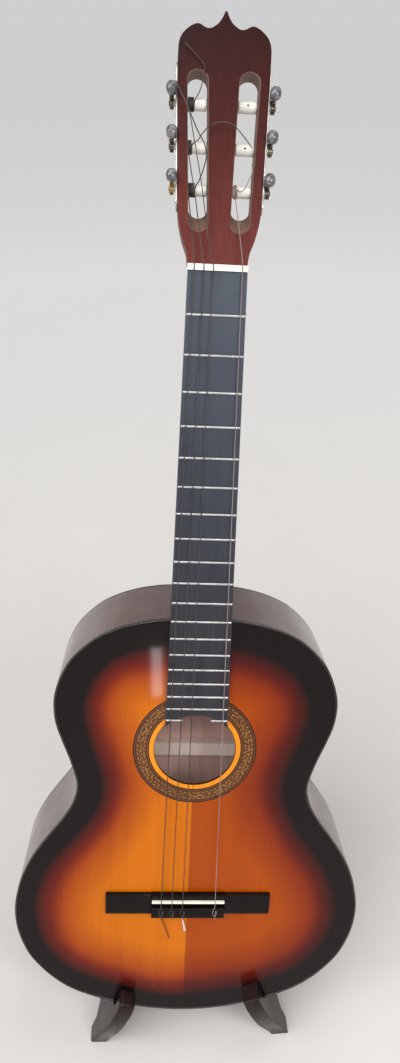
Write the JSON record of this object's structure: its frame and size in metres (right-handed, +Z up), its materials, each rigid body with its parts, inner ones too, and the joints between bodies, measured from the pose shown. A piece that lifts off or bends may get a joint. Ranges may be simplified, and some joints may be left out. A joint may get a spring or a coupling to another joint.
{
  "type": "classical guitar on stand",
  "caption": "Nylon-string classical guitar with slotted headstock, leaning in a low folding wooden A-frame stand with two upturned front hooks.",
  "frame": {"origin": "on the floor, under the middle of the bounding box", "axes": "+Z up; the soundboard faces -Y and leans back towards +Y; +X is the viewer's right"},
  "size_m": [0.3776, 0.3642, 1.0277],
  "materials": {
    "top_wood": "gloss",
    "body_wood": "gloss",
    "inner_wood": "matt",
    "neck_wood": "satin",
    "black_wood": "satin",
    "binding": "gloss",
    "mosaic": "gloss",
    "ivory": "satin",
    "nickel": "satin",
    "pearl": "gloss",
    "string": "satin",
    "stand_wood": "satin",
    "brass": "satin"
  },
  "bodies": {
    "left_board": {"leg_left": "stand_wood", "hinge_leaf_left": "brass", "hinge_pin": "brass"},
    "guitar": {"soundboard": "top_wood", "back_plate": "body_wood", "rib_left": "body_wood", "rib_right": "body_wood", "end_block": "inner_wood", "back_brace_upper": "inner_wood", "back_brace_lower": "inner_wood", "top_brace_upper": "inner_wood", "top_brace_lower": "inner_wood", "binding_top": "binding", "binding_back": "binding", "rosette": "mosaic", "neck": "neck_wood", "fretboard": "black_wood", "bridge": "black_wood", "nut": "ivory", "saddle": "ivory", "fret_01": "nickel", "fret_02": "nickel", "fret_03": "nickel", "fret_04": "nickel", "fret_05": "nickel", "fret_06": "nickel", "fret_07": "nickel", "fret_08": "nickel", "fret_09": "nickel", "fret_10": "nickel", "fret_11": "nickel", "fret_12": "nickel", "fret_13": "nickel", "fret_14": "nickel", "fret_15": "nickel", "fret_16": "nickel", "fret_17": "nickel", "fret_18": "nickel", "fret_19_left": "nickel", "fret_19_right": "nickel", "tuner_plate_left": "nickel", "tuner_plate_right": "nickel", "string_e_low": "string", "string_a": "string", "string_d": "string", "string_e_high": "string"},
    "right_board": {"leg_right": "stand_wood", "hinge_leaf_right": "brass"},
    "knob_left_1": {"knob_left_1": "pearl"},
    "roller_left_1": {"roller_left_1": "ivory"},
    "knob_left_2": {"knob_left_2": "pearl"},
    "roller_left_2": {"roller_left_2": "ivory"},
    "knob_left_3": {"knob_left_3": "pearl"},
    "roller_left_3": {"roller_left_3": "ivory"},
    "knob_right_1": {"knob_right_1": "pearl"},
    "roller_right_1": {"roller_right_1": "ivory"},
    "knob_right_2": {"knob_right_2": "pearl"},
    "roller_right_2": {"roller_right_2": "ivory"},
    "knob_right_3": {"knob_right_3": "pearl"},
    "roller_right_3": {"roller_right_3": "ivory"}
  },
  "joints": [
    {"name": "guitar_lift", "type": "slide", "parent": "left_board", "child": "guitar", "axis": [0.0558, 0.2892, 0.9556], "range_m": [0, 0.45]},
    {"name": "stand_fold", "type": "hinge", "parent": "left_board", "child": "right_board", "pos_m": [0.00003, 0.02784, 0.24], "axis": [0, 1, 0], "range_deg": [0, 44]},
    {"name": "knob_left_1_spin", "type": "hinge", "parent": "guitar", "child": "knob_left_1", "pos_m": [0.00006, 0.11283, 0.9055], "axis": [-0.0102, 0.8884, -0.459], "continuous": true},
    {"name": "roller_left_1_spin", "type": "hinge", "parent": "guitar", "child": "roller_left_1", "pos_m": [0.02138, 0.10908, 0.89777], "axis": [0.9984, -0.0162, -0.0534], "continuous": true},
    {"name": "knob_left_2_spin", "type": "hinge", "parent": "guitar", "child": "knob_left_2", "pos_m": [0.00103, 0.1289, 0.93659], "axis": [-0.0102, 0.8884, -0.459], "continuous": true},
    {"name": "roller_left_2_spin", "type": "hinge", "parent": "guitar", "child": "roller_left_2", "pos_m": [0.0233, 0.12514, 0.92881], "axis": [0.9984, -0.0162, -0.0534], "continuous": true},
    {"name": "knob_left_3_spin", "type": "hinge", "parent": "guitar", "child": "knob_left_3", "pos_m": [0.002, 0.14497, 0.96767], "axis": [-0.0102, 0.8884, -0.459], "continuous": true},
    {"name": "roller_left_3_spin", "type": "hinge", "parent": "guitar", "child": "roller_left_3", "pos_m": [0.02522, 0.1412, 0.95985], "axis": [0.9984, -0.0162, -0.0534], "continuous": true},
    {"name": "knob_right_1_spin", "type": "hinge", "parent": "guitar", "child": "knob_right_1", "pos_m": [0.08345, 0.11148, 0.90103], "axis": [-0.0102, 0.8884, -0.459], "continuous": true},
    {"name": "roller_right_1_spin", "type": "hinge", "parent": "guitar", "child": "roller_right_1", "pos_m": [0.06132, 0.10843, 0.89563], "axis": [0.9984, -0.0162, -0.0534], "continuous": true},
    {"name": "knob_right_2_spin", "type": "hinge", "parent": "guitar", "child": "knob_right_2", "pos_m": [0.08632, 0.12752, 0.93202], "axis": [-0.0102, 0.8884, -0.459], "continuous": true},
    {"name": "roller_right_2_spin", "type": "hinge", "parent": "guitar", "child": "roller_right_2", "pos_m": [0.06324, 0.12449, 0.92667], "axis": [0.9984, -0.0162, -0.0534], "continuous": true},
    {"name": "knob_right_3_spin", "type": "hinge", "parent": "guitar", "child": "knob_right_3", "pos_m": [0.08919, 0.14356, 0.96301], "axis": [-0.0102, 0.8884, -0.459], "continuous": true},
    {"name": "roller_right_3_spin", "type": "hinge", "parent": "guitar", "child": "roller_right_3", "pos_m": [0.06516, 0.14055, 0.95771], "axis": [0.9984, -0.0162, -0.0534], "continuous": true}
  ],
  "couplings": [
    {"joint": "stand_fold", "follows": "guitar_lift", "rad_per_m": 1.7},
    {"joint": "roller_left_1_spin", "follows": "knob_left_1_spin", "ratio": -0.071429},
    {"joint": "roller_left_2_spin", "follows": "knob_left_2_spin", "ratio": -0.071429},
    {"joint": "roller_left_3_spin", "follows": "knob_left_3_spin", "ratio": -0.071429},
    {"joint": "roller_right_1_spin", "follows": "knob_right_1_spin", "ratio": 0.071429},
    {"joint": "roller_right_2_spin", "follows": "knob_right_2_spin", "ratio": 0.071429},
    {"joint": "roller_right_3_spin", "follows": "knob_right_3_spin", "ratio": 0.071429}
  ]
}
